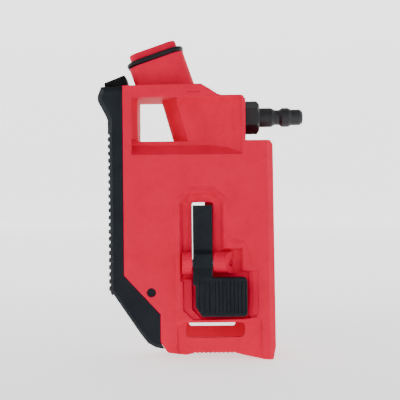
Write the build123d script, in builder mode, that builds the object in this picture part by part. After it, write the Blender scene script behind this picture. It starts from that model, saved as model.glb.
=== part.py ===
"""Air-supply magazine adapter: well body, slanted neck, air plug, front grip and release lever.

Millimetres. +X is the rear, where the air plug is, +Y the right side and +Z up. The origin is the
middle of the magazine well in X and Y, at the height of the body's lowest edge.
"""
import os
from math import cos, radians, sin

from build123d import *

os.makedirs("parts", exist_ok=True)

# Driving dimensions
well_length = 61.0          # front to rear
well_width = 22.8
well_height = 82.0          # lowest edge to the well's roof
side_wall = 3.1
front_wall = 1.6
grip_skin = 1.6             # thickness of the front grip over the body's cheeks
fit_gap = 0.1               # between pieces that are pushed together
running_gap = 0.05          # round a turning pin, on the radius
side_gap = 0.3              # beside a moving piece
seam_gap = 0.25             # open seam between the red skin and the grip

beam_top = 112.0            # top of the beam that carries the neck
window_top = 106.7
window_sill = 89.0
window_front = -23.7
window_rear = 21.2
jamb_draft = 2.2            # how far the front jamb leans into the window
web_half = 10.0             # half thickness of the web that holds the feed tube
block_rear = 22.5           # rear face of the upper block

neck_tilt = 19.0
neck_length = 23.3
neck_depth = 18.0
neck_height = 11.6          # base to shoulder, along the neck
neck_corner = 5.0
cap_length = 20.0
cap_thickness = 2.9
spigot_depth = 4.0
ring_cord = 2.3

ball_bore = 6.2
feed_wall = 0.4
gas_bore = 1.8
gas_wall = 0.7

inlet_height = 99.2
inlet_bush_radius = 6.2
inlet_bush_length = 11.5
plug_thread_radius = 4.8
hexagon_flats = 12.0
hexagon_length = 6.3
washer_thickness = 0.6

grip_proud = 1.4            # the ribbed face ahead of the body
rib_count = 23
rib_pitch = 2.9
rib_depth = 0.7

pivot_height = 39.5
arm_width = 7.85
arm_front = 0.75            # front side of the lever's arm
arm_top = 62.8
paddle_length = 20.75
paddle_height = 15.6
paddle_bottom = 18.3
paddle_thickness = 4.3
pin_radius = 1.5
lug_radius = 4.5
pocket_depth = 1.5
rim_height = 0.7
nib_reach = 2.5

spring_radius = 2.2
spring_wire = 0.25
spring_turns = 6

# Worked out from the driving dimensions
half_length = well_length / 2
half_width = well_width / 2
half_body = half_width + side_wall
cheek = half_body - grip_skin                       # the body's cheek under the grip
core_front = -half_length - front_wall
rear_face = half_length + 3.1
seam_front = core_front + 4.9                       # where the red skin meets the grip
roof = well_height
neck_base = Vector(-10.1, 0, beam_top)
tilt_sin, tilt_cos = sin(radians(neck_tilt)), cos(radians(neck_tilt))
neck_plane = Plane(origin=neck_base, x_dir=(tilt_cos, 0, tilt_sin), z_dir=(-tilt_sin, 0, tilt_cos))
cap_top = neck_height + ring_cord + 0.1 + cap_thickness
cap_depth = cap_length - (neck_length - neck_depth)
cap_corner = max(1.0, neck_corner - (neck_length - cap_length) / 2)
groove_inset = 0.1
spigot_length = neck_length - 5.0
spigot_width = neck_depth - 5.0
feed_offset = 0.8
feed_radius = ball_bore / 2 + feed_wall
gas_radius = gas_bore / 2 + gas_wall
gas_offset = feed_offset + feed_radius + gas_radius + 2 * fit_gap + 0.6
nozzle_radius = gas_radius + 0.1
nozzle_base = 5.0
nozzle_recess = 1.5
tube_top = 3.0
pivot_y = -half_body - 0.1
arm_rear = arm_front + arm_width
floor_y = -half_body + pocket_depth
travel_gap = 3.2
paddle_inner = floor_y - travel_gap
paddle_outer = paddle_inner - paddle_thickness
paddle_front = arm_front + 0.9
paddle_rear = paddle_front + paddle_length
paddle_top = paddle_bottom + paddle_height
bush_front = block_rear - inlet_bush_length
lug_front, lug_rear = -3.6, 17.2
pin_front = arm_front - 3.15
pin_rear = lug_rear - 4.2
seat_depth = 2.4
spring_place = (12.0, paddle_bottom + paddle_height / 2)
grip_pin_radius = 1.85
pad_stem_radius = 1.0
pad_base = beam_top + 0.02
grip_pin_place = (core_front + 15.9, 27.6)
screw_radius, screw_head_radius, screw_head_height = 1.0, 1.75, 1.6
insert_radius, insert_length = 1.45, 3.5
screw_places = [(-15.6, beam_top - 2.3), (-4.0, beam_top - 2.3)]   # X and Z, in from the left side
grip_face = core_front - grip_proud
seam_low = core_front + 19.5                        # the seam's upright stretch below the slant
tab_outline = [
    (core_front + 12.6, 13.0), (core_front + 18.7, 8.2), (core_front + 19.9, 31.0), (core_front + 11.7, 31.0),
]
tab_root = [
    (core_front + 12.7, 13.1), (core_front + 18.1, 8.9), (core_front + 18.1, 19.0), (core_front + 12.5, 25.0),
]


def neck_point(across, along):
    """A point on the middle plane, in the neck's own directions."""
    return neck_base + Vector(tilt_cos, 0, tilt_sin) * across + Vector(-tilt_sin, 0, tilt_cos) * along


gas_bend = 5.0
gas_start = Vector(bush_front + 2.0, 0, inlet_height)
gas_drop = (beam_top + tilt_sin * gas_offset - inlet_height) / tilt_cos
gas_corner = neck_point(gas_offset, -gas_drop)
gas_end = neck_point(gas_offset, nozzle_base)


def serrated(first, last, height, teeth, depth):
    """Points along a lower edge, from last back to first, with a row of shallow teeth."""
    pitch = (last - first) / teeth
    points = []
    for tooth in range(teeth):
        end = last - tooth * pitch
        points += [(end, height), (end - pitch / 2, height + depth)]
    return points + [(first, height)]


# The red skin seen from the side, X and Z
skin_outline = [
    (seam_front, beam_top - 0.5), (0, beam_top), (4.6, beam_top), (7.9, beam_top - 1.9), (11.0, beam_top - 4.0),
    (12.8, beam_top - 4.6), (20.9, beam_top - 4.6), (block_rear, beam_top - 6.2),
    (block_rear, window_sill), (rear_face - 1.3, window_sill), (rear_face, window_sill - 1.5),
    (rear_face + 0.6, 5.0), (rear_face - 0.5, 0.0), (rear_face - 4.6, 0.3), (21.8, 1.8),
    *serrated(0.5, 18.0, 2.8, 10, 0.4),
    (-2.4, 2.2), (seam_low + 3.2, 3.2), (seam_low + 2.4, 3.8), (seam_low, 7.5), (seam_low, 18.8),
    (seam_front, 34.6),
]
# The thinner cheeks under the grip
cheek_outline = [
    (core_front, beam_top - 2.5), (seam_front + 1, beam_top - 2.5), (seam_front + 1, 34.0),
    (seam_low + 1, 18.8), (seam_low + 1, 6.6), (core_front + 18.5, 5.8), (core_front + 14.5, 7.6),
    (core_front + 11.5, 11.4), (core_front + 8.3, 15.9), (core_front, 28.0),
]
grip_outline = [
    (core_front - 3.9, 111.3), (core_front - 5.5, 107.2), (core_front - 5.2, 105.2), (grip_face - 0.6, 99.2),
    (grip_face, 97.5), (grip_face, 28.2), (core_front - 0.1, 26.3), (core_front + 7.3, 15.4),
    (core_front + 10.3, 10.9), (core_front + 13.8, 6.4), (core_front + 17.2, 4.5), (core_front + 19.8, 3.95),
    (core_front + 27, 3.7), (core_front + 27, 40.0), (core_front + 10, 50.0), (core_front + 10, 111.3),
]
pocket_upper = [
    (-3.2, pivot_height + 4), (-3.2, 63.5), (0.0, 67.0), (8.7, 67.0), (11.9, 63.8), (11.9, pivot_height + 4.6),
    (19.4, pivot_height + 4.6), (19.4, pivot_height - 6), (-3.2, pivot_height - 6),
]
rim_outline = [
    (-6.4, 14.5), (-6.4, 65.6), (-1.2, 70.6), (9.6, 70.6), (15.0, 65.4), (15.0, 50.0), (22.0, 48.6),
    (27.4, 34.0), (27.4, 14.5),
]

# Housing
with BuildPart() as housing:
    with BuildSketch(Plane.XZ):
        with BuildLine():
            Polyline(*skin_outline, close=True)
        make_face()
    extrude(amount=half_body, both=True)
    rear_edges = housing.edges().filter_by(lambda e: e.center().X > rear_face - 0.2 and e.length > 40)
    chamfer(rear_edges, length=2.5)
    with BuildSketch(Plane.XZ):
        with BuildLine():
            Polyline(*cheek_outline, close=True)
        make_face()
    extrude(amount=cheek, both=True)

    # Low swelling round the lever's pocket
    with BuildSketch(Plane.XZ.offset(half_body - 0.05)):
        with BuildLine():
            Polyline(*rim_outline, close=True)
        make_face()
    extrude(amount=rim_height, taper=72)

    # Magazine well
    with BuildSketch(Plane.XY.offset(-1)):
        RectangleRounded(well_length, well_width, 0.8)
    extrude(amount=roof + 1, mode=Mode.SUBTRACT)

    # Window, right through, with sloping sills and a sloping front jamb on both sides
    with BuildSketch(Plane.XZ):
        with BuildLine():
            Polyline(
                (window_front + jamb_draft, window_sill), (window_front + jamb_draft, window_top),
                (window_rear, window_top), (window_rear, window_sill), close=True,
            )
        make_face()
        fillet(vertices(), radius=1.0)
    extrude(amount=half_body + 1, both=True, mode=Mode.SUBTRACT)
    for side in (-1, 1):
        outer, inner = side * (half_body + 1), side * (half_body - 4.5)
        with BuildSketch(Plane.YZ.offset(window_front)):
            with BuildLine():
                Polyline(
                    (outer, window_sill - 6.5), (inner, window_sill - 1.7), (inner, window_sill + 1),
                    (outer, window_sill + 1), close=True,
                )
            make_face()
        extrude(amount=window_rear - window_front, mode=Mode.SUBTRACT)
        with BuildSketch(Plane.XY.offset(window_sill)):
            with BuildLine():
                Polyline(
                    (window_front - 0.5, outer), (window_front + jamb_draft, inner), (window_front + 4, inner),
                    (window_front + 4, outer), close=True,
                )
            make_face()
        extrude(amount=window_top - window_sill, mode=Mode.SUBTRACT)

    # Web behind the window: a leaning nose that widens to the full block at the rear
    web_lean = -0.285
    web_flare = [
        (7.0, web_half), (11.0, web_half + 0.25), (14.5, web_half + 0.95), (17.5, web_half + 2.0),
        (window_rear + 0.6, half_body - 0.5),
    ]
    web_low, web_high = window_sill - 7, window_top + 0.5
    for height in (web_low, web_high):
        nose = -7.2 + web_lean * (height - 89.9)
        with BuildSketch(Plane.XY.offset(height)):
            with BuildLine():
                Polyline(
                    (nose + 0.9, -2.2), (nose + 6.3, -web_half), *[(x, -y) for x, y in web_flare],
                    *reversed(web_flare), (nose + 6.3, web_half), (nose + 0.9, 2.2), (nose, 0), close=True,
                )
            make_face()
    loft(ruled=True)

    # Slope from the web's faces up to the beam's edges
    for side in (-1, 1):
        with BuildSketch(Plane.YZ.offset(-5.2)):
            with BuildLine():
                Polyline(
                    (side * (half_body - 0.4), window_top + 0.3), (side * (web_half - 1), window_top + 0.3),
                    (side * (web_half - 1), window_top - 3.6), close=True,
                )
            make_face()
        extrude(amount=window_rear + 5.4)

    # Socket for the neck, with the holes and counterbores of its two screws
    with BuildSketch(Plane.XY.offset(beam_top - spigot_depth - 0.2)):
        with Locations((neck_base.X, 0)):
            RectangleRounded(spigot_length + 2 * fit_gap, spigot_width + 2 * fit_gap, 2.0)
    extrude(amount=spigot_depth + 1, mode=Mode.SUBTRACT)
    with BuildSketch(Plane.XZ.offset(-half_body - 1)):
        with Locations(*screw_places):
            Circle(screw_radius + fit_gap)
    extrude(amount=half_body + 1 - spigot_width / 2 + 0.5, mode=Mode.SUBTRACT)
    with BuildSketch(Plane.XZ.offset(-half_body - 1)):
        with Locations(*screw_places):
            Circle(screw_head_radius + fit_gap)
    extrude(amount=1 + screw_head_height, mode=Mode.SUBTRACT)

    # Bore for the feed tube, along the neck from the well's roof
    with BuildSketch(neck_plane.offset(-36)):
        with Locations((feed_offset, 0)):
            Circle(feed_radius + fit_gap)
    extrude(amount=36, mode=Mode.SUBTRACT)

    # Channel for the gas tube, from the inlet to the neck
    with BuildLine() as gas_channel:
        FilletPolyline(gas_start, gas_corner, gas_end, radius=gas_bend)
    with BuildSketch(Plane(origin=gas_start, z_dir=(-1, 0, 0))):
        Circle(gas_radius + fit_gap)
    sweep(path=gas_channel.line, mode=Mode.SUBTRACT)

    # Inlet bush bore, from the rear face
    with BuildSketch(Plane.YZ.offset(bush_front - fit_gap)):
        with Locations((0, inlet_height)):
            Circle(inlet_bush_radius + fit_gap)
    extrude(amount=inlet_bush_length + 5, mode=Mode.SUBTRACT)

    # Lever pocket, deeper under the paddle, and the slot through the wall
    with BuildSketch(Plane.XZ.offset(-floor_y)):
        with BuildLine():
            Polyline(*pocket_upper, close=True)
        make_face()
    extrude(amount=8, taper=-35, mode=Mode.SUBTRACT)
    with BuildSketch(Plane.XZ.offset(-floor_y)):
        with BuildLine():
            Polyline(
                (arm_front - side_gap, 20.8), (arm_front + 3.2, paddle_bottom - 1.3),
                (paddle_rear + 0.8, paddle_bottom - 1.0), (paddle_rear + 0.8, paddle_top + 1.5),
                (arm_front - side_gap, paddle_top + 1.5), close=True,
            )
        make_face()
    extrude(amount=8, taper=-12, mode=Mode.SUBTRACT)

    with BuildSketch(Plane.XZ.offset(half_body - 0.25)):
        with BuildLine():
            Polyline(
                (-3.0, pivot_height + 2), (-3.0, 20.6), (0.9, 16.7), (21.3, 17.2), (27.0, 18.6),
                (27.0, pivot_height - 3.6), (10.0, pivot_height - 3.6), (10.0, pivot_height + 2), close=True,
            )
        make_face()
    extrude(amount=6, taper=-30, mode=Mode.SUBTRACT)
    with BuildSketch(Plane.XY.offset(paddle_bottom - 1.0)):
        with BuildLine():
            Polyline(
                (paddle_rear - 2, floor_y), (27.0, -half_body - 0.3), (27.0, -half_body - 4),
                (paddle_rear - 2, -half_body - 4), close=True,
            )
        make_face()
    extrude(amount=pivot_height - 2.6 - paddle_bottom, mode=Mode.SUBTRACT)

    # Recess round the bottom slot, on both sides
    for side in (-1, 1):
        with BuildSketch(Plane.XZ.offset(side * (half_body - 0.8))):
            with BuildLine():
                Polyline((-3.0, -1), (-6.0, 4.5), (-6.0, 12.6), (-2.8, 15.7), (28.6, 15.7), (28.6, -1), close=True)
            make_face()
        extrude(amount=side * 8, mode=Mode.SUBTRACT)

    # Pivot lugs, flat at the well's inner face
    with BuildSketch(Plane.YZ.offset(lug_front)):
        with Locations((pivot_y, pivot_height)):
            Circle(lug_radius)
        with Locations((-half_width + 10, pivot_height)):
            Rectangle(20, 20, mode=Mode.SUBTRACT)
    extrude(amount=lug_rear - lug_front)

    with BuildSketch(Plane.XZ.offset(half_width - 1)):
        with BuildLine():
            Polyline(
                (arm_front - side_gap, paddle_top - 0.6), (arm_front - side_gap, arm_top + 1.1),
                (arm_rear + side_gap, arm_top + 1.1), (arm_rear + side_gap, paddle_top - 0.6), close=True,
            )
        make_face()
        fillet(vertices(), radius=0.8)
    extrude(amount=14, mode=Mode.SUBTRACT)

    # Bottom slot through both walls, and the plain slot in the right wall
    with BuildSketch(Plane.XZ):
        with Locations((9.55, 12.2)):
            RectangleRounded(24.2, 6.0, 1.9)
    extrude(amount=half_body + 2, mode=Mode.SUBTRACT)
    with BuildSketch(Plane.XZ):
        with Locations((8.6, 12.8)):
            RectangleRounded(20.0, 4.9, 1.2)
    extrude(amount=-half_body - 2, mode=Mode.SUBTRACT)
    with BuildSketch(Plane.XZ.offset(-half_width + 1)):
        with Locations((2.2, 51.5)):
            RectangleRounded(7.1, 27.0, 1.2)
    extrude(amount=-side_wall - 3, mode=Mode.SUBTRACT)

    # Pin hole, closed at the front, and the slanted end of the rear lug
    with BuildSketch(Plane.YZ.offset(pin_front)):
        with Locations((pivot_y, pivot_height)):
            Circle(pin_radius)
    extrude(amount=22, mode=Mode.SUBTRACT)

    with BuildSketch(Plane.XY.offset(pivot_height - lug_radius - 1)):
        with BuildLine():
            Polyline(
                (lug_rear - 4.2, pivot_y - lug_radius - 1), (lug_rear, -half_width - 1.6), (lug_rear + 3, -half_width - 1.6),
                (lug_rear + 3, pivot_y - lug_radius - 1), close=True,
            )
        make_face()
    extrude(amount=2 * lug_radius + 2, mode=Mode.SUBTRACT)

    # Rebates for the grip's inner tabs
    for side in (-1, 1):
        with BuildSketch(Plane.XZ.offset(side * cheek)):
            with BuildLine():
                Polyline(*tab_outline, close=True)
            make_face()
            offset(amount=fit_gap)
        extrude(amount=-side * (grip_skin + 0.4), mode=Mode.SUBTRACT)

    # Spring seat in the pocket's floor
    with BuildSketch(Plane.XZ.offset(-floor_y - 1.0)):
        with Locations(spring_place):
            Circle(spring_radius + side_gap)
    extrude(amount=3, mode=Mode.SUBTRACT)

    # Holes for the grip pins, and the small recess on the beam
    with BuildSketch(Plane.XZ):
        with Locations(grip_pin_place):
            Circle(grip_pin_radius)
    extrude(amount=half_body + 1, both=True, mode=Mode.SUBTRACT)
    with BuildSketch(Plane.XZ.offset(half_body - 0.3)):
        with Locations((1.6, 109.0)):
            RectangleRounded(5.6, 0.9, 0.4)
    extrude(amount=1, mode=Mode.SUBTRACT)
housing.part.label = "housing"
export_step(housing.part, "parts/housing.step")

# Neck: a tilted head on a straight spigot
with BuildPart() as neck_insert:
    with BuildSketch(neck_plane.offset(-6)):
        RectangleRounded(neck_length, neck_depth, neck_corner)
    extrude(amount=neck_height + 6)
    split(bisect_by=Plane.XY.offset(beam_top), keep=Keep.TOP)
    with BuildSketch(neck_plane.offset(neck_height - 1)):
        RectangleRounded(
            cap_length - 2 * groove_inset, cap_depth - 2 * groove_inset, cap_corner - groove_inset
        )
    extrude(amount=cap_top - neck_height)
    with BuildSketch(neck_plane.offset(cap_top - cap_thickness)):
        RectangleRounded(cap_length, cap_depth, cap_corner)
    extrude(amount=cap_thickness)
    chamfer(faces().sort_by(Axis(neck_base, neck_plane.z_dir))[-1].edges(), length=0.4)
    with BuildSketch(Plane.XY.offset(beam_top - spigot_depth)):
        with Locations((neck_base.X, 0)):
            RectangleRounded(spigot_length, spigot_width, 2.0)
    extrude(amount=spigot_depth + 1)
    with BuildSketch(neck_plane.offset(-10)):
        with Locations((feed_offset, 0)):
            Circle(ball_bore / 2)
    extrude(amount=cap_top + 11, mode=Mode.SUBTRACT)
    with BuildSketch(neck_plane.offset(-10)):
        with Locations((feed_offset, 0)):
            Circle(feed_radius + fit_gap)
        with Locations((gas_offset, 0)):
            Circle(gas_radius + fit_gap)
    extrude(amount=10 + tube_top, mode=Mode.SUBTRACT)
    with BuildSketch(neck_plane.offset(tube_top - 0.5)):
        with Locations((gas_offset, 0)):
            Circle(gas_radius + fit_gap)
    extrude(amount=nozzle_base, mode=Mode.SUBTRACT)
    with BuildSketch(neck_plane.offset(nozzle_base)):
        with Locations((gas_offset, 0)):
            Circle(nozzle_radius)
    extrude(amount=cap_top, mode=Mode.SUBTRACT)
    with BuildSketch(neck_plane.offset(cap_top - nozzle_recess)):
        with Locations((gas_offset, 0)):
            Circle(nozzle_radius + 0.6)
    extrude(amount=cap_top, mode=Mode.SUBTRACT)
    with BuildSketch(Plane.XZ.offset(-spigot_width / 2 - 1)):
        with Locations(*screw_places):
            Circle(insert_radius)
    extrude(amount=insert_length + 1, mode=Mode.SUBTRACT)
neck_insert.part.label = "neck_insert"
export_step(neck_insert.part, "parts/neck_insert.step")

# Neck O-ring, round the groove under the cap
ring_offset = ring_cord / 2 - groove_inset + 0.02
with BuildSketch(neck_plane.offset(neck_height + 0.05 + ring_cord / 2)) as ring_loop:
    RectangleRounded(cap_length + 2 * ring_offset, cap_depth + 2 * ring_offset, cap_corner + ring_offset)
ring_path = ring_loop.sketch.face().outer_wire()
with BuildPart() as neck_o_ring:
    with BuildSketch(Plane(origin=ring_path @ 0, z_dir=ring_path % 0)):
        Circle(ring_cord / 2)
    sweep(path=ring_path)
neck_o_ring.part.label = "neck_o_ring"
export_step(neck_o_ring.part, "parts/neck_o_ring.step")

# Feed tube for the balls, flush with the well's roof
with BuildPart() as feed_tube:
    with BuildSketch(neck_plane.offset(-34)):
        with Locations((feed_offset, 0)):
            Circle(feed_radius)
            Circle(ball_bore / 2, mode=Mode.SUBTRACT)
    extrude(amount=34 + tube_top)
    split(bisect_by=Plane.XY.offset(roof), keep=Keep.TOP)
feed_tube.part.label = "feed_tube"
export_step(feed_tube.part, "parts/feed_tube.step")

# Gas tube, bent once between the inlet bush and the neck
with BuildPart() as gas_tube:
    with BuildLine() as gas_path:
        FilletPolyline(gas_start, gas_corner, gas_end, radius=gas_bend)
    with BuildSketch(Plane(origin=gas_start, z_dir=(-1, 0, 0))):
        Circle(gas_radius)
        Circle(gas_bore / 2, mode=Mode.SUBTRACT)
    sweep(path=gas_path.line)
gas_tube.part.label = "gas_tube"
export_step(gas_tube.part, "parts/gas_tube.step")

# Gas nozzle in the neck, with a groove at its tip
nozzle_stand = -0.2
with BuildPart() as gas_nozzle:
    with BuildSketch(neck_plane.offset(nozzle_base)):
        with Locations((gas_offset, 0)):
            Circle(nozzle_radius)
            Circle(gas_bore / 2, mode=Mode.SUBTRACT)
    extrude(amount=cap_top - nozzle_base + nozzle_stand)
    with BuildSketch(neck_plane.offset(cap_top - 1.2)):
        with Locations((gas_offset, 0)):
            Circle(nozzle_radius + 1)
            Circle(nozzle_radius - 0.4, mode=Mode.SUBTRACT)
    extrude(amount=0.8, mode=Mode.SUBTRACT)
gas_nozzle.part.label = "gas_nozzle"
export_step(gas_nozzle.part, "parts/gas_nozzle.step")

with BuildPart() as gas_nozzle_o_ring:
    tip = neck_point(gas_offset, cap_top - 0.8)
    with BuildSketch(Plane(origin=tip, x_dir=neck_plane.x_dir, z_dir=(0, -1, 0))):
        with Locations((nozzle_radius - 0.4 + 0.4, 0)):
            Circle(0.38)
    revolve(axis=Axis(tip, neck_plane.z_dir))
gas_nozzle_o_ring.part.label = "gas_nozzle_o_ring"
export_step(gas_nozzle_o_ring.part, "parts/gas_nozzle_o_ring.step")

# Neck screws, in through the beam's left side, and their threaded inserts in the spigot
with BuildPart() as neck_screws:
    with BuildSketch(Plane.XZ.offset(-half_body)):
        with Locations(*screw_places):
            Circle(screw_head_radius)
    extrude(amount=screw_head_height)
    with BuildSketch(Plane.XZ.offset(-half_body)):
        with Locations(*screw_places):
            Circle(screw_radius)
    extrude(amount=half_body - spigot_width / 2 + insert_length - 0.3)
    with BuildSketch(Plane.XZ.offset(-half_body)):
        with Locations(*screw_places):
            RegularPolygon(0.9, 6)
    extrude(amount=0.8, mode=Mode.SUBTRACT)
neck_screws.part.label = "neck_screws"
export_step(neck_screws.part, "parts/neck_screws.step")

with BuildPart() as neck_screw_inserts:
    with BuildSketch(Plane.XZ.offset(-spigot_width / 2)):
        with Locations(*screw_places):
            Circle(insert_radius)
            Circle(screw_radius, mode=Mode.SUBTRACT)
    extrude(amount=insert_length)
neck_screw_inserts.part.label = "neck_screw_inserts"
export_step(neck_screw_inserts.part, "parts/neck_screw_inserts.step")

# Inlet bush: a threaded socket for the plug, with a groove for its O-ring
bush_axis = Axis((0, 0, inlet_height), (1, 0, 0))
with BuildPart() as inlet_bush:
    with BuildSketch(Plane.YZ.offset(bush_front)):
        with Locations((0, inlet_height)):
            Circle(inlet_bush_radius)
            Circle(gas_bore / 2, mode=Mode.SUBTRACT)
    extrude(amount=inlet_bush_length)
    with BuildSketch(Plane.YZ.offset(bush_front)):
        with Locations((0, inlet_height)):
            Circle(gas_radius + fit_gap / 2)
    extrude(amount=2.0, mode=Mode.SUBTRACT)
    with BuildSketch(Plane.YZ.offset(bush_front + 3.0)):
        with Locations((0, inlet_height)):
            Circle(plug_thread_radius)
    extrude(amount=inlet_bush_length, mode=Mode.SUBTRACT)
    with BuildSketch(Plane.YZ.offset(block_rear - washer_thickness)):
        with Locations((0, inlet_height)):
            Circle(inlet_bush_radius - 0.4)
    extrude(amount=washer_thickness + 1, mode=Mode.SUBTRACT)
    with BuildSketch(Plane.YZ.offset(bush_front + 4.0)):
        with Locations((0, inlet_height)):
            Circle(inlet_bush_radius + 1)
            Circle(inlet_bush_radius - 0.9, mode=Mode.SUBTRACT)
    extrude(amount=1.2, mode=Mode.SUBTRACT)
inlet_bush.part.label = "inlet_bush"
export_step(inlet_bush.part, "parts/inlet_bush.step")

with BuildPart() as inlet_bush_o_ring:
    with BuildSketch(Plane.XZ):
        with Locations((bush_front + 4.6, inlet_height + inlet_bush_radius - 0.4)):
            Circle(0.48)
    revolve(axis=bush_axis)
inlet_bush_o_ring.part.label = "inlet_bush_o_ring"
export_step(inlet_bush_o_ring.part, "parts/inlet_bush_o_ring.step")

# Air plug: threaded end, hexagon, and the quick-connect nose with its locking groove
plug_start = bush_front + 3.6
plug_hex_end = block_rear + hexagon_length
plug_profile = [
    (plug_start, 1.9), (plug_start, plug_thread_radius - 0.5), (plug_start + 0.5, plug_thread_radius),
    (block_rear + 0.5, plug_thread_radius), (block_rear + 0.5, 4.0), (plug_hex_end + 5.2, 4.0),
    (plug_hex_end + 6.5, 3.15), (plug_hex_end + 8.4, 3.15), (plug_hex_end + 9.5, 4.0),
    (plug_hex_end + 12.2, 4.0), (plug_hex_end + 13.4, 3.3), (plug_hex_end + 17.0, 3.3),
    (plug_hex_end + 18.2, 2.4), (plug_hex_end + 18.2, 1.9),
]
hexagon_cone = [(plug_hex_end - 1.2, 7.2), (plug_hex_end + 0.1, 5.6), (plug_hex_end + 0.1, 7.2)]
with BuildPart() as air_plug:
    with BuildSketch(Plane.XZ):
        with BuildLine():
            Polyline(*[(x, inlet_height + radius) for x, radius in plug_profile], close=True)
        make_face()
    revolve(axis=bush_axis)
    with BuildSketch(Plane.YZ.offset(block_rear)):
        with Locations((0, inlet_height)):
            RegularPolygon(hexagon_flats / 2, 6, major_radius=False, rotation=30)
            Circle(2.5, mode=Mode.SUBTRACT)
    extrude(amount=hexagon_length)
    with BuildSketch(Plane.XZ):
        with BuildLine():
            Polyline(*[(x, inlet_height + radius) for x, radius in hexagon_cone], close=True)
        make_face()
    revolve(axis=bush_axis, mode=Mode.SUBTRACT)
air_plug.part.label = "air_plug"
export_step(air_plug.part, "parts/air_plug.step")

with BuildPart() as air_plug_washer:
    with BuildSketch(Plane.YZ.offset(block_rear - washer_thickness)):
        with Locations((0, inlet_height)):
            Circle(inlet_bush_radius - 0.5)
            Circle(plug_thread_radius + fit_gap, mode=Mode.SUBTRACT)
    extrude(amount=washer_thickness)
air_plug_washer.part.label = "air_plug_washer"
export_step(air_plug_washer.part, "parts/air_plug_washer.step")

# Front grip: a shell over the body's front, bevelled all round, with ribs and two inner tabs
with BuildPart() as front_grip:
    bevel = 2.4
    with BuildSketch(Plane.XZ):
        with BuildLine():
            Polyline(*grip_outline, close=True)
        make_face()
    extrude(amount=half_body - bevel, both=True)
    for side in (-1, 1):
        with BuildSketch(Plane.XZ.offset(side * (half_body - bevel))):
            with BuildLine():
                Polyline(*grip_outline, close=True)
            make_face()
        extrude(amount=side * bevel, taper=40)
    with BuildSketch(Plane.XZ):
        with BuildLine():
            Polyline((seam_front, beam_top + 6), (4.6, beam_top + 6), *skin_outline[3:], close=True)
        make_face()
        offset(amount=seam_gap, kind=Kind.INTERSECTION)
    extrude(amount=half_body + 1, both=True, mode=Mode.SUBTRACT)
    with BuildSketch(Plane.XZ):
        with BuildLine():
            Polyline(
                (core_front - fit_gap, beam_top - 2.4), (0, beam_top - 2.4), (0, -5), (core_front + 2, -5),
                (core_front - fit_gap, 10), close=True,
            )
        make_face()
    extrude(amount=cheek + fit_gap, both=True, mode=Mode.SUBTRACT)
    for side in (-1, 1):
        with BuildSketch(Plane.XZ.offset(side * (half_width + fit_gap))):
            with BuildLine():
                Polyline(*tab_outline, close=True)
            make_face()
        extrude(amount=side * (cheek - half_width - 2 * fit_gap))
        with BuildSketch(Plane.XZ.offset(side * (half_width + fit_gap))):
            with BuildLine():
                Polyline(*tab_root, close=True)
            make_face()
        extrude(amount=side * 2.0)
    for rib in range(rib_count):
        with BuildSketch(Plane.XZ):
            with Locations((grip_face, 26.2 + (rib + 0.5) * rib_pitch)):
                Rectangle(2 * rib_depth, 0.45 * rib_pitch)
        extrude(amount=half_body, both=True, mode=Mode.SUBTRACT)
    with BuildSketch(Plane.XZ):
        with Locations(grip_pin_place):
            Circle(grip_pin_radius)
    extrude(amount=half_body, both=True, mode=Mode.SUBTRACT)
    with BuildSketch(Plane.XY.offset(beam_top - 3.6)):
        with Locations((core_front - 1.8, 0)):
            Circle(pad_stem_radius + fit_gap)
    extrude(amount=5, mode=Mode.SUBTRACT)
front_grip.part.label = "front_grip"
export_step(front_grip.part, "parts/front_grip.step")

# Grip pins, through the red skin into the tabs
with BuildPart() as grip_pins:
    for side in (-1, 1):
        with BuildSketch(Plane.XZ.offset(side * (half_width + fit_gap))):
            with Locations(grip_pin_place):
                Circle(grip_pin_radius)
        extrude(amount=side * (side_wall - fit_gap - 0.3))
grip_pins.part.label = "grip_pins"
export_step(grip_pins.part, "parts/grip_pins.step")

# Front pad: a soft wedge with a stem in the grip's top
with BuildPart() as front_pad:
    with BuildSketch(Plane.XZ):
        with BuildLine():
            Polyline(
                (core_front + 5.4, 116.7), (core_front - 3.1, 113.4), (core_front - 3.0, pad_base),
                (core_front + 6.6, pad_base), close=True,
            )
        make_face()
        fillet(vertices().sort_by(Axis.Y)[-2:], radius=0.5)
    extrude(amount=7.5, both=True)
    with BuildSketch(Plane.XY.offset(beam_top - 3.5)):
        with Locations((core_front - 1.8, 0)):
            Circle(pad_stem_radius)
    extrude(amount=4)
front_pad.part.label = "front_pad"
export_step(front_pad.part, "parts/front_pad.step")

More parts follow.
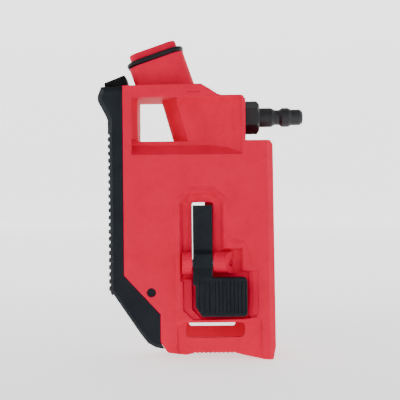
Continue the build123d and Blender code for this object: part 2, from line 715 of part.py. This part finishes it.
# Release lever: arm, hub and ribbed paddle in one moulding
with BuildPart() as release_lever:
    with BuildSketch(Plane.YZ.offset(arm_front)):
        with BuildLine():
            Polyline(
                (-half_body - 0.7, arm_top), (-half_body - 0.7, pivot_height + 5.2), (-18.3, pivot_height + 3.6),
                (-18.9, pivot_height - 2), (paddle_outer, paddle_top + 0.2), (paddle_outer, paddle_top - 3),
                (paddle_inner, paddle_top - 3), (paddle_inner, paddle_top - 0.6), (-12.2, pivot_height - 3.6),
                (-12.2, arm_top - 4.4), (-half_width + nib_reach, arm_top - 3.9),
                (-half_width + nib_reach, arm_top - 2.4), (-12.2, arm_top), close=True,
            )
        make_face()
    extrude(amount=arm_width)
    with BuildSketch(Plane.XZ.offset(-paddle_inner)):
        with BuildLine():
            Polyline(
                (paddle_front, paddle_bottom + 4), (paddle_front + 2.6, paddle_bottom), (paddle_rear, paddle_bottom),
                (paddle_rear, paddle_top), (paddle_front, paddle_top), close=True,
            )
        make_face()
        fillet(vertices().sort_by(Axis.X)[-2:], radius=1.6)
    extrude(amount=paddle_thickness)
    top_edges = faces().sort_by(Axis.Y)[0].edges()
    chamfer(top_edges, length=0.5)
    wide_grooves = [arm_front + 2.45 + 2.1 * groove for groove in range(3)]
    narrow_grooves = [arm_rear + 1.0 + 1.5 * groove for groove in range(9)]
    for groove in wide_grooves + narrow_grooves:
        with BuildSketch(Plane.XZ.offset(-paddle_outer - 0.5)):
            with Locations((groove, paddle_bottom + paddle_height / 2)):
                Rectangle(0.55, paddle_height - 2.6)
        extrude(amount=2, mode=Mode.SUBTRACT)
    with BuildSketch(Plane.YZ.offset(arm_front - 1)):
        with Locations((pivot_y, pivot_height)):
            Circle(pin_radius + running_gap)
    extrude(amount=arm_width + 2, mode=Mode.SUBTRACT)
    with BuildSketch(Plane.XZ.offset(-paddle_inner - 1)):
        with Locations(spring_place):
            Circle(spring_radius + 0.6)
    extrude(amount=seat_depth + 1, mode=Mode.SUBTRACT)
release_lever.part.label = "release_lever"
export_step(release_lever.part, "parts/release_lever.step")

with BuildPart() as lever_pin:
    with BuildSketch(Plane.YZ.offset(pin_front)):
        with Locations((pivot_y, pivot_height)):
            Circle(pin_radius)
    extrude(amount=pin_rear - pin_front)
lever_pin.part.label = "lever_pin"
export_step(lever_pin.part, "parts/lever_pin.step")

# Lever spring, between the seats in the pocket's floor and in the paddle
with BuildPart() as lever_spring:
    spring_start = floor_y + 1.0 - spring_wire - 0.05
    spring_end = paddle_inner - seat_depth + spring_wire + 0.05
    spring_height = spring_start - spring_end
    with BuildLine() as spring_line:
        Helix(
            pitch=spring_height / spring_turns, height=spring_height, radius=spring_radius - spring_wire,
            center=(spring_place[0], spring_start, spring_place[1]), direction=(0, -1, 0),
        )
    with BuildSketch(Plane(origin=spring_line.line @ 0, z_dir=spring_line.line % 0)):
        Circle(spring_wire)
    sweep(path=spring_line.line, is_frenet=True)
lever_spring.part.label = "lever_spring"
export_step(lever_spring.part, "parts/lever_spring.step")
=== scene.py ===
"""Looks for the air-supply magazine adapter: finishes for the moulded, turned and rubber pieces, the
rounded ribs of the front grip and the paddle, and a plain studio."""
import math

import bmesh
import bpy
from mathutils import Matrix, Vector


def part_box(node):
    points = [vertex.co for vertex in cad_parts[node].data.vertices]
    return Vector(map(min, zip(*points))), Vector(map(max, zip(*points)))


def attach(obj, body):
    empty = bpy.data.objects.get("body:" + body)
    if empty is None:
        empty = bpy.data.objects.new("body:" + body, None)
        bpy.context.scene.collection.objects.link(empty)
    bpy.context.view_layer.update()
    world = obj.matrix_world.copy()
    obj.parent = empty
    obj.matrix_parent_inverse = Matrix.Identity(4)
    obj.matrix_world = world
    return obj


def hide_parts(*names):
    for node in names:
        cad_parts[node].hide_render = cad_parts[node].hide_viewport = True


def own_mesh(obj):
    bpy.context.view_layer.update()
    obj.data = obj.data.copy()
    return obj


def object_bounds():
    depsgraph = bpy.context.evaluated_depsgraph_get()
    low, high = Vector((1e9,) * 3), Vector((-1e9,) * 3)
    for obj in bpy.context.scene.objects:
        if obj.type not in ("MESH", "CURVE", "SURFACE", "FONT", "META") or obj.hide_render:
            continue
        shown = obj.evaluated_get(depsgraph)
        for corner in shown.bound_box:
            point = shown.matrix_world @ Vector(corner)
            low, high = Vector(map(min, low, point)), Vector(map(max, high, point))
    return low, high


bl_info = {
    "name": "Magazine Adapter Looks",
    "version": (1, 0, 0),
    "blender": (4, 5, 0),
    "location": "View3D > Sidebar > Adapter",
    "description": "Finishes, rounded ribs and a studio for an air-supply magazine adapter",
    "category": "Object",
}

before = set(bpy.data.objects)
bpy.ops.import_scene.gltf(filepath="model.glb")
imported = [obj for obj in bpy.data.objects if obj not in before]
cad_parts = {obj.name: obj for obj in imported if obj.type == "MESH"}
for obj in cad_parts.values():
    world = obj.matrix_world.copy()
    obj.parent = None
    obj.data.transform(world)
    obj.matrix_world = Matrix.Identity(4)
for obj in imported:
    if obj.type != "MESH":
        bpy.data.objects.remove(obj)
cad_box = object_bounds()

MM = 0.001
BODY, LEVER = "body", "lever"

# These follow the CAD model's own dimensions
GRIP_BULGE = 4.1 * MM           # how far the grip's top stands ahead of its ribbed face
GRIP_RIB_PITCH = 2.9 * MM
GRIP_RIB_COUNT = 23
GRIP_FIRST_RIB = 26.2 * MM + GRIP_RIB_PITCH
GRIP_BEVEL, GRIP_BEVEL_ANGLE = 2.4 * MM, 40
# Name, count, pitch, first rib from the lever's front side, and size against the plain rib
PADDLE_ROWS = (
    ("paddle_ribs", 8, 1.5 * MM, 9.6 * MM, 1.0), ("paddle_broad_ribs", 2, 2.1 * MM, 3.5 * MM, 1.5),
)


class Value:
    """A shader socket that carries a number, and adds Math nodes when it stands in an expression."""

    def __init__(self, finish, socket):
        self.finish = finish
        self.socket = socket

    def _math(self, operation, first, second):
        node = self.finish.node("ShaderNodeMath", {"operation": operation}, {0: first, 1: second})
        return Value(self.finish, node.outputs[0])

    def __add__(self, other):
        return self._math("ADD", self, other)

    def __radd__(self, other):
        return self._math("ADD", other, self)

    def __sub__(self, other):
        return self._math("SUBTRACT", self, other)

    def __rsub__(self, other):
        return self._math("SUBTRACT", other, self)

    def __mul__(self, other):
        return self._math("MULTIPLY", self, other)

    def __rmul__(self, other):
        return self._math("MULTIPLY", other, self)

    def clamped(self):
        """The value, kept between 0 and 1."""
        return self._math("MINIMUM", self._math("MAXIMUM", self, 0.0), 1.0)


class Finish:
    """A material with one Principled shader, and short ways to add nodes to it."""

    def __init__(self, name, **constants):
        self.material = bpy.data.materials.new(name)
        self.material.use_nodes = True
        self.tree = self.material.node_tree
        self.tree.nodes.clear()
        self.shader = self.node("ShaderNodeBsdfPrincipled", {}, constants)
        output = self.node("ShaderNodeOutputMaterial", {}, {"Surface": self.shader.outputs["BSDF"]})
        output.is_active_output = True
        self.place = self.node("ShaderNodeTexCoord", {}, {}).outputs["Object"]

    def node(self, kind, settings, sockets):
        """Adds one node: its settings first, then the values or links of its sockets."""
        node = self.tree.nodes.new(kind)
        for key, value in settings.items():
            setattr(node, key, value)
        for key, value in sockets.items():
            self.feed(node.inputs[key], value)
        return node

    def feed(self, socket, value):
        """Links a socket to a value, or sets it."""
        if isinstance(value, Value):
            value = value.socket
        if isinstance(value, bpy.types.NodeSocket):
            self.tree.links.new(value, socket)
        else:
            socket.default_value = value

    def noise(self, size, detail=2.0, roughness=0.5, stretch=(1, 1, 1)):
        """Noise whose features are about size metres across."""
        mapping = self.node("ShaderNodeMapping", {}, {"Vector": self.place, "Scale": stretch})
        sockets = {
            "Vector": mapping.outputs["Vector"], "Scale": 1 / size, "Detail": detail,
            "Roughness": roughness,
        }
        return Value(self, self.node("ShaderNodeTexNoise", {}, sockets).outputs["Fac"])

    def ramp(self, value, low, high):
        """The value stretched so that low becomes 0 and high becomes 1."""
        sockets = {"Value": value, "From Min": low, "From Max": high}
        return Value(self, self.node("ShaderNodeMapRange", {"clamp": True}, sockets).outputs["Result"])

    def mix(self, factor, first, second):
        """Two colours mixed by a factor."""
        node = self.node("ShaderNodeMix", {"data_type": "RGBA"}, {})
        self.feed(node.inputs[0], factor)
        self.feed(node.inputs[6], first)
        self.feed(node.inputs[7], second)
        return node.outputs[2]

    def soft_edges(self, radius):
        """A normal that rounds the edges, and how near each point is to an edge."""
        bevel = self.node("ShaderNodeBevel", {"samples": 8}, {"Radius": radius}).outputs["Normal"]
        face = self.node("ShaderNodeNewGeometry", {}, {}).outputs["Normal"]
        match = self.node("ShaderNodeVectorMath", {"operation": "DOT_PRODUCT"}, {0: bevel, 1: face})
        nearness = self.ramp(1.0 - Value(self, match.outputs["Value"]), 0.01, 0.25)
        return bevel, nearness

    def bump(self, height, distance, strength=1.0, normal=None):
        """Feeds the shader's normal with a height."""
        sockets = {"Height": height, "Distance": distance, "Strength": strength}
        if normal is not None:
            sockets["Normal"] = normal
        self.feed(self.shader.inputs["Normal"], self.node("ShaderNodeBump", {}, sockets).outputs["Normal"])

    def set(self, socket, value):
        self.feed(self.shader.inputs[socket], value)


def colour(red, green, blue):
    return (red, green, blue, 1.0)


def sintered_nylon(name, deep, plain, edge_highlight, roughness, grain, shine):
    """Powder-sintered nylon: blotched dye, a sandy grain and a paler tint on the edges, which is a painted
    highlight.
    """
    finish = Finish(name, IOR=1.5)
    finish.set("Specular IOR Level", shine)
    normal, edge = finish.soft_edges(0.35 * MM)
    clouds = finish.ramp(finish.noise(9 * MM, detail=4, roughness=0.6), 0.33, 0.67)
    blotches = finish.ramp(finish.noise(1.6 * MM, detail=3, roughness=0.65), 0.3, 0.7)
    sand = finish.noise(0.22 * MM, detail=3, roughness=0.7)
    dye = (clouds * 0.55 + blotches * 0.3 + sand * 0.3 - 0.1).clamped()
    body = finish.mix(dye, deep, plain)
    # Painted highlight: the edges take a paler tint, standing in for light catching them.
    finish.set("Base Color", finish.mix((edge * 0.55).clamped(), body, edge_highlight))
    finish.set("Roughness", roughness + 0.12 * blotches - 0.08 * edge)
    finish.bump(sand * 0.7 + blotches * 0.3, grain, 0.7, normal)
    return finish.material


def moulded_rubber(name, base, roughness, grain):
    """Rubber with a faint bloom, a paler tint on its edges that is a painted highlight, and a soft skin.
    """
    finish = Finish(name, IOR=1.48)
    finish.set("Specular IOR Level", 0.2)
    normal, edge = finish.soft_edges(0.3 * MM)
    bloom = finish.ramp(finish.noise(2.2 * MM, detail=4, roughness=0.6), 0.35, 0.75)
    skin = finish.noise(0.15 * MM, detail=2)
    # Paler tint: the bloom lays it on at random, which is real; on the edges it is a painted highlight.
    bloom_and_edge_highlight = colour(base[0] * 2.2, base[1] * 2.2, base[2] * 2.3)
    finish.set("Base Color", finish.mix((bloom * 0.35 + edge * 0.4).clamped(), base, bloom_and_edge_highlight))
    finish.set("Roughness", roughness + 0.15 * bloom)
    finish.bump(skin, grain, 0.5, normal)
    return finish.material


def turned_metal(name, base, worn, roughness, metallic, ring_size):
    """Lathe-turned metal: fine rings across the long axis, with wear on its corners."""
    finish = Finish(name, IOR=1.5)
    normal, edge = finish.soft_edges(0.18 * MM)
    rings = finish.noise(ring_size, detail=2, stretch=(1, 0.02, 0.02))
    stains = finish.ramp(finish.noise(1.8 * MM, detail=4, roughness=0.6), 0.3, 0.7)
    finish.set("Base Color", finish.mix((edge * 0.5 + stains * 0.15).clamped(), base, worn))
    finish.set("Metallic", metallic)
    finish.set("Roughness", roughness + 0.12 * stains - 0.06 * edge)
    finish.bump(rings, 0.02 * MM, 0.6, normal)
    return finish.material


def milky_nylon(name):
    """Drawn nylon tube, whitish, with faint lengthwise streaks."""
    finish = Finish(name, IOR=1.53)
    streaks = finish.noise(0.6 * MM, detail=2, stretch=(0.1, 1, 1))
    finish.set("Base Color", finish.mix(streaks, colour(0.72, 0.7, 0.62), colour(0.86, 0.85, 0.8)))
    finish.set("Roughness", 0.3 + 0.15 * streaks)
    finish.bump(streaks, 0.01 * MM, 0.4)
    return finish.material


class AdapterColours(bpy.types.PropertyGroup):
    """Colours of the adapter's main finishes"""
    red: bpy.props.FloatVectorProperty(
        name="Red nylon", description="Colour of the housing and the neck", subtype="COLOR", size=3,
        min=0, max=1, default=(0.78, 0.0015, 0.044),
    )
    black: bpy.props.FloatVectorProperty(
        name="Black nylon", description="Colour of the grip and the lever", subtype="COLOR", size=3,
        min=0, max=1, default=(0.0125, 0.0152, 0.019),
    )
    steel: bpy.props.FloatVectorProperty(
        name="Blackened steel", description="Colour of the air plug", subtype="COLOR", size=3,
        min=0, max=1, default=(0.015, 0.0155, 0.018),
    )


class AdapterSizes(bpy.types.PropertyGroup):
    """Sizes of the details that this file adds"""
    grip_rib: bpy.props.FloatProperty(
        name="Grip rib", description="Radius of the rounded ribs on the front grip", subtype="DISTANCE",
        unit="LENGTH", min=0.0002, max=0.002, default=0.78 * MM,
    )
    paddle_rib: bpy.props.FloatProperty(
        name="Paddle rib", description="Radius of the rounded ribs on the paddle", subtype="DISTANCE",
        unit="LENGTH", min=0.0002, max=0.002, default=0.5 * MM,
    )


def dress(names, material):
    """Gives CAD nodes one material."""
    for name in names:
        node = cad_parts[name]
        node.data.materials.clear()
        node.data.materials.append(material)


def bar_tree(name, material):
    """Geometry nodes that sweep a round bar along the piece's own edges and repeat it in a row."""
    tree = bpy.data.node_groups.new(name, "GeometryNodeTree")
    face = tree.interface
    face.new_socket("Geometry", in_out="INPUT", socket_type="NodeSocketGeometry")
    for label, kind in (
        ("Radius", "NodeSocketFloat"), ("Corner", "NodeSocketFloat"), ("Count", "NodeSocketInt"),
        ("Step", "NodeSocketVector"),
    ):
        face.new_socket(label, in_out="INPUT", socket_type=kind)
    face.new_socket("Geometry", in_out="OUTPUT", socket_type="NodeSocketGeometry")

    def add(kind, settings, sockets):
        node = tree.nodes.new(kind)
        for key, value in settings.items():
            setattr(node, key, value)
        for key, value in sockets.items():
            if isinstance(value, bpy.types.NodeSocket):
                tree.links.new(value, node.inputs[key])
            else:
                node.inputs[key].default_value = value
        return node.outputs

    given = add("NodeGroupInput", {}, {})
    spine = add("GeometryNodeMeshToCurve", {}, {"Mesh": given["Geometry"]})["Curve"]
    rounded = add(
        "GeometryNodeFilletCurve", {}, {"Curve": spine, "Radius": given["Corner"], "Limit Radius": True}
    )["Curve"]
    section = add(
        "GeometryNodeCurvePrimitiveCircle", {}, {"Resolution": 16, "Radius": given["Radius"]}
    )["Curve"]
    bar = add(
        "GeometryNodeCurveToMesh", {}, {"Curve": rounded, "Profile Curve": section, "Fill Caps": True}
    )["Mesh"]
    row = add("GeometryNodeMeshLine", {}, {"Count": given["Count"], "Offset": given["Step"]})["Mesh"]
    copies = add("GeometryNodeInstanceOnPoints", {}, {"Points": row, "Instance": bar})["Instances"]
    real = add("GeometryNodeRealizeInstances", {}, {"Geometry": copies})["Geometry"]
    smooth = add("GeometryNodeSetShadeSmooth", {}, {"Geometry": real})["Geometry"]
    dressed = add("GeometryNodeSetMaterial", {}, {"Geometry": smooth, "Material": material})["Geometry"]
    add("NodeGroupOutput", {}, {"Geometry": dressed})
    return tree


def row_of_bars(name, points, radius, corner, count, step, material, body):
    """A row of rounded bars, each along the given points, made by geometry nodes and kept as a mesh."""
    spine = bpy.data.meshes.new(name + "_spine")
    spine.from_pydata([Vector(p) for p in points], [(i, i + 1) for i in range(len(points) - 1)], [])
    maker = bpy.data.objects.new(name + "_maker", spine)
    bpy.context.scene.collection.objects.link(maker)
    modifier = maker.modifiers.new("Bars", "NODES")
    modifier.node_group = bar_tree(name + "_tree", material)
    given = {"Radius": radius, "Corner": corner, "Count": count, "Step": step}
    for item in modifier.node_group.interface.items_tree:
        if item.in_out == "INPUT" and item.name in given:
            modifier[item.identifier] = given[item.name]
    view = bpy.context.evaluated_depsgraph_get()
    mesh = bpy.data.meshes.new_from_object(maker.evaluated_get(view))
    mesh.name = name
    bpy.data.objects.remove(maker)
    piece = bpy.data.objects.new(name, mesh)
    bpy.context.scene.collection.objects.link(piece)
    if not mesh.materials:
        mesh.materials.append(material)
    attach(piece, body)
    return piece


def black_nylon():
    """The grip's and the lever's material, made once."""
    made = bpy.data.materials.get("dyed_black_nylon")
    if made:
        return made
    base = bpy.context.scene.adapter_colours.black
    deep = colour(base[0] * 0.8, base[1] * 0.8, base[2] * 0.8)
    # Painted highlight: a paler tint for the edges, standing in for light catching them.
    edge_highlight = colour(base[0] * 4.2, base[1] * 4.2, base[2] * 4.0)
    plain = colour(base[0] * 1.3, base[1] * 1.3, base[2] * 1.3)
    return sintered_nylon("dyed_black_nylon", deep, plain, edge_highlight, 0.5, 0.06 * MM, 0.07)


class ADAPTER_OT_red_pieces(bpy.types.Operator):
    """Finish the housing and the neck"""
    bl_idname = "adapter.red_pieces"
    bl_label = "Red pieces"

    def execute(self, context):
        base = context.scene.adapter_colours.red
        deep = colour(base[0] * 0.84, base[1] * 0.75, base[2] * 0.8)
        # Painted highlight: a paler, pinker tint for the edges, standing in for light catching them.
        edge_highlight = colour(min(1.0, base[0] * 1.12), base[1] * 9.0, base[2] * 3.5)
        material = sintered_nylon("dyed_red_nylon", deep, colour(*base), edge_highlight, 0.55, 0.07 * MM, 0.1)
        dress(("housing", "neck_insert"), material)
        return {"FINISHED"}


class ADAPTER_OT_front_grip(bpy.types.Operator):
    """Finish the front grip and its pins, and add its rounded ribs"""
    bl_idname = "adapter.front_grip"
    bl_label = "Front grip"

    def execute(self, context):
        material = black_nylon()
        dress(("front_grip", "grip_pins"), material)
        low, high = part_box("front_grip")
        radius = context.scene.adapter_sizes.grip_rib
        front, half = low[0] + GRIP_BULGE, high[1]
        inset = GRIP_BEVEL * math.tan(math.radians(GRIP_BEVEL_ANGLE))
        proud = front + radius - 0.12 * MM
        end = proud + inset - 0.2 * MM
        points = [
            (end, -half + 0.35 * MM, GRIP_FIRST_RIB), (proud, -half + GRIP_BEVEL, GRIP_FIRST_RIB),
            (proud, half - GRIP_BEVEL, GRIP_FIRST_RIB), (end, half - 0.35 * MM, GRIP_FIRST_RIB),
        ]
        step = (0, 0, GRIP_RIB_PITCH)
        row_of_bars("grip_ribs", points, radius, 1.0 * MM, GRIP_RIB_COUNT, step, material, BODY)
        return {"FINISHED"}


class ADAPTER_OT_release_lever(bpy.types.Operator):
    """Finish the release lever, and add the rounded ribs of its paddle"""
    bl_idname = "adapter.release_lever"
    bl_label = "Release lever"

    def execute(self, context):
        material = black_nylon()
        dress(("release_lever",), material)
        low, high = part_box("release_lever")
        radius = context.scene.adapter_sizes.paddle_rib
        outer = low[1] + radius - 0.14 * MM
        bottom, top = low[2] + 1.3 * MM, low[2] + 14.3 * MM
        for name, count, pitch, start, scale in PADDLE_ROWS:
            first, proud = low[0] + start, outer + (scale - 1) * radius
            points = [(first, proud, bottom), (first, proud, top)]
            row_of_bars(name, points, radius * scale, 0.1 * MM, count, (pitch, 0, 0), material, LEVER)
        return {"FINISHED"}


class ADAPTER_OT_seals(bpy.types.Operator):
    """Finish the O-rings, the washer and the front pad"""
    bl_idname = "adapter.seals"
    bl_label = "Seals and pad"

    def execute(self, context):
        seals = ("neck_o_ring", "gas_nozzle_o_ring", "inlet_bush_o_ring", "air_plug_washer")
        dress(seals, moulded_rubber("seal_rubber", colour(0.008, 0.008, 0.009), 0.28, 0.01 * MM))
        dress(("front_pad",), moulded_rubber("pad_skin", colour(0.002, 0.002, 0.0024), 0.65, 0.05 * MM))
        return {"FINISHED"}


def return_spring(material):
    """The lever's spring, welded into one coil."""
    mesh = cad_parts["lever_spring"].data.copy()
    work = bmesh.new()
    work.from_mesh(mesh)
    bmesh.ops.remove_doubles(work, verts=work.verts, dist=0.001 * MM)
    work.to_mesh(mesh)
    work.free()
    mesh.polygons.foreach_set("use_smooth", [True] * len(mesh.polygons))
    mesh.materials.clear()
    mesh.materials.append(material)
    coil = bpy.data.objects.new("return_spring", mesh)
    bpy.context.scene.collection.objects.link(coil)
    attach(coil, BODY)
    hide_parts("lever_spring")
    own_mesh(coil)


class ADAPTER_OT_metal(bpy.types.Operator):
    """Finish the air plug and the other metal pieces, and the gas tube"""
    bl_idname = "adapter.metal"
    bl_label = "Metal pieces"

    def execute(self, context):
        base = context.scene.adapter_colours.steel
        worn = colour(base[0] * 3.2, base[1] * 3.2, base[2] * 3.2)
        black = turned_metal("blackened_steel", colour(*base), worn, 0.38, 0.35, 0.12 * MM)
        dress(("air_plug",), black)
        bright = turned_metal(
            "bright_steel", colour(0.52, 0.52, 0.53), colour(0.7, 0.7, 0.7), 0.28, 1.0, 0.1 * MM
        )
        dress(("feed_tube", "neck_screws", "lever_pin"), bright)
        return_spring(bright)
        brass = turned_metal(
            "turned_brass", colour(0.66, 0.47, 0.2), colour(0.85, 0.7, 0.4), 0.3, 1.0, 0.1 * MM
        )
        dress(("gas_nozzle", "neck_screw_inserts", "inlet_bush"), brass)
        dress(("gas_tube",), milky_nylon("milky_nylon"))
        return {"FINISHED"}


def area_light(name, place, target, size, power, tint):
    """A soft square light that points at the target."""
    data = bpy.data.lights.new(name, "AREA")
    data.shape = "SQUARE"
    data.size = size
    data.energy = power
    data.color = tint
    light = bpy.data.objects.new(name, data)
    light.location = place
    light.rotation_euler = (Vector(target) - Vector(place)).to_track_quat("-Z", "Y").to_euler()
    bpy.context.scene.collection.objects.link(light)


def backdrop():
    """A round near-white floor that curves up into a wall and glows as painted light: faintly in front of
    the object, brightly at its back, lighting the object as well.
    """
    floor, reach, bend, height, sides = cad_box[0][2] - 0.02 * MM, 3.0, 0.8, 2.4, 64
    profile = [(0.6, floor)]
    for step in range(13):
        angle = math.radians(90 * step / 12)
        profile.append((reach - bend + bend * math.sin(angle), floor + bend - bend * math.cos(angle)))
    profile.append((reach, floor + height))
    points = [(0, 0, floor)]
    for side in range(sides):
        turn = math.radians(360 * side / sides)
        points += [(r * math.cos(turn), r * math.sin(turn), z) for r, z in profile]
    count = len(profile)
    faces = []
    for side in range(sides):
        here, there = 1 + side * count, 1 + (side + 1) % sides * count
        faces.append((0, here, there))
        faces += [(here + i, here + i + 1, there + i + 1, there + i) for i in range(count - 1)]
    mesh = bpy.data.meshes.new("backdrop")
    mesh.from_pydata(points, [], faces)
    mesh.polygons.foreach_set("use_smooth", [True] * len(mesh.polygons))
    sheet = bpy.data.objects.new("backdrop", mesh)
    glowing_paper = Finish("glowing_paper", Roughness=0.9)
    glowing_paper.set("Base Color", colour(0.93, 0.93, 0.93))
    depth = Value(glowing_paper, glowing_paper.node("ShaderNodeSeparateXYZ", {}, {"Vector": glowing_paper.place}).outputs["Y"])
    # Painted glow: the sheet emits light, dim in front of the object and bright at its back.
    glow_ramp = glowing_paper.ramp(depth, -0.9, 0.35)
    glowing_paper.set("Emission Color", glowing_paper.mix(glow_ramp, colour(0.1, 0.1, 0.1), colour(1.0, 1.0, 1.0)))
    glowing_paper.set("Emission Strength", 1.4)
    mesh.materials.append(glowing_paper.material)
    bpy.context.scene.collection.objects.link(sheet)


class ADAPTER_OT_studio(bpy.types.Operator):
    """Add the floor, the lights and the camera"""
    bl_idname = "adapter.studio"
    bl_label = "Studio"

    def execute(self, context):
        scene = context.scene
        backdrop()
        world = bpy.data.worlds.new("studio")
        world.use_nodes = True
        world.node_tree.nodes["Background"].inputs["Color"].default_value = colour(1, 1, 1)
        world.node_tree.nodes["Background"].inputs["Strength"].default_value = 0.12
        scene.world = world
        middle = (0.0, 0.0, 65 * MM)
        area_light("key", (-0.45, -0.55, 0.62), middle, 0.5, 1.6, (1.0, 0.99, 0.98))
        area_light("fill", (0.6, -0.6, 0.25), middle, 0.7, 0.4, (1.0, 1.0, 1.0))
        area_light("top", (0.05, 0.15, 0.8), middle, 0.6, 0.6, (1.0, 1.0, 1.0))
        data = bpy.data.cameras.new("camera")
        data.sensor_width = 36.0
        data.lens = 83.6
        data.clip_start = 0.01
        camera = bpy.data.objects.new("camera", data)
        camera.location = (3.8 * MM, -390 * MM, 64.9 * MM)
        camera.rotation_euler = (math.radians(90), math.radians(0.55), 0)
        scene.collection.objects.link(camera)
        scene.camera = camera
        return {"FINISHED"}


STEPS = (
    ADAPTER_OT_studio, ADAPTER_OT_red_pieces, ADAPTER_OT_front_grip, ADAPTER_OT_release_lever,
    ADAPTER_OT_seals, ADAPTER_OT_metal,
)


class ADAPTER_PT_panel(bpy.types.Panel):
    """The adapter's colours, sizes and steps"""
    bl_idname = "ADAPTER_PT_panel"
    bl_label = "Adapter"
    bl_space_type = "VIEW_3D"
    bl_region_type = "UI"
    bl_category = "Adapter"

    def draw(self, context):
        for group in (context.scene.adapter_colours, context.scene.adapter_sizes):
            for key in group.bl_rna.properties.keys():
                if key not in ("rna_type", "name"):
                    self.layout.prop(group, key)
        for step in STEPS:
            self.layout.operator(step.bl_idname)


CLASSES = (AdapterColours, AdapterSizes, *STEPS, ADAPTER_PT_panel)


def register():
    for item in CLASSES:
        bpy.utils.register_class(item)
    bpy.types.Scene.adapter_colours = bpy.props.PointerProperty(type=AdapterColours)
    bpy.types.Scene.adapter_sizes = bpy.props.PointerProperty(type=AdapterSizes)


def unregister():
    del bpy.types.Scene.adapter_sizes
    del bpy.types.Scene.adapter_colours
    for item in reversed(CLASSES):
        bpy.utils.unregister_class(item)


def main():
    register()
    for step in STEPS:
        group, name = step.bl_idname.split(".")
        getattr(getattr(bpy.ops, group), name)()


if __name__ == "__main__":
    main()
